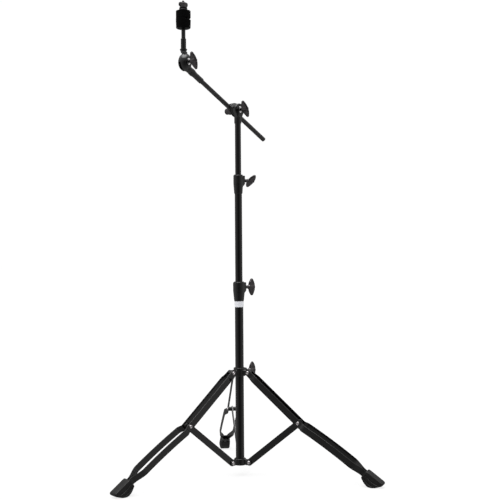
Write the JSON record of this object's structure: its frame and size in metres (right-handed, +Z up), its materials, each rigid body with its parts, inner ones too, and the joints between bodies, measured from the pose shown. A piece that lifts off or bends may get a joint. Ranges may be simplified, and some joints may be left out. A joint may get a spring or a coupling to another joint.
{
  "type": "cymbal boom stand",
  "caption": "Folding double-strip tripod with telescoping tubes, a clamped tilting boom rod and a cymbal tilter with felt pads.",
  "frame": {"origin": "point on the floor under the axis of the upright tubes", "axes": "+Z up along the tubes, +Y along the rear leg, the boom leans towards -X and -Y"},
  "size_m": [0.682, 0.5907, 1.223],
  "materials": {
    "black_enamel": "gloss",
    "black_casting": "satin",
    "black_nickel": "polished",
    "bright_rivet": "satin",
    "black_nylon": "satin",
    "dark_rubber": "satin",
    "black_felt": "matte",
    "silver_band": "satin"
  },
  "bodies": {
    "stand": {"base_tube": "black_enamel", "label_band": "silver_band", "base_collar": "black_casting", "lower_hub": "black_casting", "leg_1_brace_rivet": "bright_rivet", "leg_2_brace_rivet": "bright_rivet", "leg_3_brace_rivet": "bright_rivet"},
    "leg_slider": {"leg_hub": "black_casting", "leg_1_hub_rivet": "bright_rivet", "leg_2_hub_rivet": "bright_rivet", "leg_3_hub_rivet": "bright_rivet"},
    "base_wing": {"base_wing_bolt": "black_nickel"},
    "hub_wing": {"hub_wing_bolt": "black_nickel"},
    "base_swivel": {"base_bushing": "black_nylon"},
    "mid_section": {"mid_tube": "black_enamel", "mid_collar": "black_casting"},
    "mid_wing": {"mid_wing_bolt": "black_nickel"},
    "mid_swivel": {"mid_bushing": "black_nylon"},
    "top_section": {"top_tube": "black_enamel", "boom_yoke": "black_casting"},
    "boom_clamp": {"rod_holder": "black_casting", "clamp_eye_bolt": "black_nickel"},
    "clamp_wing": {"clamp_wing_nut": "black_nickel"},
    "rod_swivel": {"rod_shoe": "black_nylon"},
    "boom": {"boom_rod": "black_enamel", "tilter_fork": "black_casting", "tilter_bolt": "black_nickel"},
    "tilter_wing": {"tilter_wing_nut": "black_nickel"},
    "cymbal_seat": {"tilter_head": "black_casting", "cymbal_post": "black_enamel", "felt_sleeve": "black_nylon", "seat_cup": "black_nickel"},
    "lower_pad": {"lower_felt": "black_felt"},
    "upper_pad": {"upper_felt": "black_felt"},
    "seat_washer": {"top_washer": "black_nickel"},
    "seat_wing": {"top_wing_nut": "black_nickel"},
    "leg_1": {"leg_1_strip_left": "black_enamel", "leg_1_strip_right": "black_enamel", "leg_1_knee_rivet_left": "bright_rivet", "leg_1_knee_rivet_right": "bright_rivet", "leg_1_knee_spacer_left": "black_nylon", "leg_1_knee_spacer_right": "black_nylon", "leg_1_foot": "dark_rubber"},
    "brace_1": {"leg_1_brace": "black_enamel"},
    "leg_2": {"leg_2_strip_left": "black_enamel", "leg_2_strip_right": "black_enamel", "leg_2_knee_rivet_left": "bright_rivet", "leg_2_knee_rivet_right": "bright_rivet", "leg_2_knee_spacer_left": "black_nylon", "leg_2_knee_spacer_right": "black_nylon", "leg_2_foot": "dark_rubber"},
    "brace_2": {"leg_2_brace": "black_enamel"},
    "leg_3": {"leg_3_strip_left": "black_enamel", "leg_3_strip_right": "black_enamel", "leg_3_knee_rivet_left": "bright_rivet", "leg_3_knee_rivet_right": "bright_rivet", "leg_3_knee_spacer_left": "black_nylon", "leg_3_knee_spacer_right": "black_nylon", "leg_3_foot": "dark_rubber"},
    "brace_3": {"leg_3_brace": "black_enamel"}
  },
  "joints": [
    {"name": "leg_fold", "type": "slide", "parent": "stand", "child": "leg_slider", "axis": [0, 0, 1], "range_m": [0, 0.1269]},
    {"name": "hub_wing_turn", "type": "hinge", "parent": "leg_slider", "child": "hub_wing", "pos_m": [0, 0, 0.2739], "axis": [0.866, 0.5, 0], "range_deg": [0, 720]},
    {"name": "base_wing_turn", "type": "hinge", "parent": "stand", "child": "base_wing", "pos_m": [0, 0, 0.4945], "axis": [0.866, 0.5, 0], "range_deg": [0, 720]},
    {"name": "lower_swivel", "type": "hinge", "parent": "stand", "child": "base_swivel", "pos_m": [0, 0, 0.49], "axis": [0, 0, 1], "continuous": true},
    {"name": "lower_height", "type": "slide", "parent": "base_swivel", "child": "mid_section", "axis": [0, 0, 1], "range_m": [-0.23, 0.08]},
    {"name": "mid_wing_turn", "type": "hinge", "parent": "mid_section", "child": "mid_wing", "pos_m": [0, 0, 0.7755], "axis": [0.866, 0.5, 0], "range_deg": [0, 720]},
    {"name": "upper_swivel", "type": "hinge", "parent": "mid_section", "child": "mid_swivel", "pos_m": [0, 0, 0.775], "axis": [0, 0, 1], "continuous": true},
    {"name": "upper_height", "type": "slide", "parent": "mid_swivel", "child": "top_section", "axis": [0, 0, 1], "range_m": [-0.133, 0.1]},
    {"name": "boom_tilt", "type": "hinge", "parent": "top_section", "child": "boom_clamp", "pos_m": [0, 0, 0.9608], "axis": [-0.5878, 0.809, 0], "range_deg": [-75, 50]},
    {"name": "clamp_wing_turn", "type": "hinge", "parent": "boom_clamp", "child": "clamp_wing", "pos_m": [0, 0, 0.9608], "axis": [0.5878, -0.809, 0], "range_deg": [0, 720]},
    {"name": "boom_roll", "type": "hinge", "parent": "boom_clamp", "child": "rod_swivel", "pos_m": [-0.01117, 0.01537, 0.9608], "axis": [-0.6945, -0.5046, 0.5129], "continuous": true},
    {"name": "boom_reach", "type": "slide", "parent": "rod_swivel", "child": "boom", "axis": [-0.6945, -0.5046, 0.5129], "range_m": [-0.085, 0.1]},
    {"name": "tilter_wing_turn", "type": "hinge", "parent": "boom", "child": "tilter_wing", "pos_m": [-0.14798, -0.08403, 1.06665], "axis": [0.5878, -0.809, 0], "range_deg": [0, 720]},
    {"name": "cymbal_tilt", "type": "hinge", "parent": "boom", "child": "cymbal_seat", "pos_m": [-0.14798, -0.08403, 1.06665], "axis": [-0.5878, 0.809, 0], "range_deg": [-95, 40]},
    {"name": "lower_felt_turn", "type": "hinge", "parent": "cymbal_seat", "child": "lower_pad", "pos_m": [-0.14798, -0.08403, 1.16], "axis": [0, 0, 1], "continuous": true},
    {"name": "upper_felt_turn", "type": "hinge", "parent": "cymbal_seat", "child": "upper_pad", "pos_m": [-0.14798, -0.08403, 1.19], "axis": [0, 0, 1], "continuous": true},
    {"name": "seat_washer_lift", "type": "slide", "parent": "cymbal_seat", "child": "seat_washer", "axis": [0, 0, 1], "range_m": [0, 0.01]},
    {"name": "seat_wing_turn", "type": "hinge", "parent": "seat_washer", "child": "seat_wing", "pos_m": [-0.14798, -0.08403, 1.212], "axis": [0, 0, 1], "range_deg": [0, 3600]},
    {"name": "leg_1_swing", "type": "hinge", "parent": "leg_slider", "child": "leg_1", "pos_m": [0, 0.026, 0.2714], "axis": [-1, 0, 0], "range_deg": [0, 42.54]},
    {"name": "brace_1_swing", "type": "hinge", "parent": "stand", "child": "brace_1", "pos_m": [0, 0.026, 0.036], "axis": [1, 0, 0], "range_deg": [0, 44.77]},
    {"name": "leg_2_swing", "type": "hinge", "parent": "leg_slider", "child": "leg_2", "pos_m": [-0.02252, -0.013, 0.2714], "axis": [0.5, -0.866, 0], "range_deg": [0, 42.54]},
    {"name": "brace_2_swing", "type": "hinge", "parent": "stand", "child": "brace_2", "pos_m": [-0.02252, -0.013, 0.036], "axis": [-0.5, 0.866, 0], "range_deg": [0, 44.77]},
    {"name": "leg_3_swing", "type": "hinge", "parent": "leg_slider", "child": "leg_3", "pos_m": [0.02252, -0.013, 0.2714], "axis": [0.5, 0.866, 0], "range_deg": [0, 42.54]},
    {"name": "brace_3_swing", "type": "hinge", "parent": "stand", "child": "brace_3", "pos_m": [0.02252, -0.013, 0.036], "axis": [-0.5, -0.866, 0], "range_deg": [0, 44.77]}
  ],
  "couplings": [
    {"joint": "seat_wing_turn", "follows": "seat_washer_lift", "rad_per_m": 6282.6},
    {"joint": "leg_1_swing", "follows": "leg_fold", "rad_per_m": 5.8502},
    {"joint": "brace_1_swing", "follows": "leg_fold", "rad_per_m": 6.1569},
    {"joint": "leg_2_swing", "follows": "leg_fold", "rad_per_m": 5.8502},
    {"joint": "brace_2_swing", "follows": "leg_fold", "rad_per_m": 6.1569},
    {"joint": "leg_3_swing", "follows": "leg_fold", "rad_per_m": 5.8502},
    {"joint": "brace_3_swing", "follows": "leg_fold", "rad_per_m": 6.1569}
  ]
}
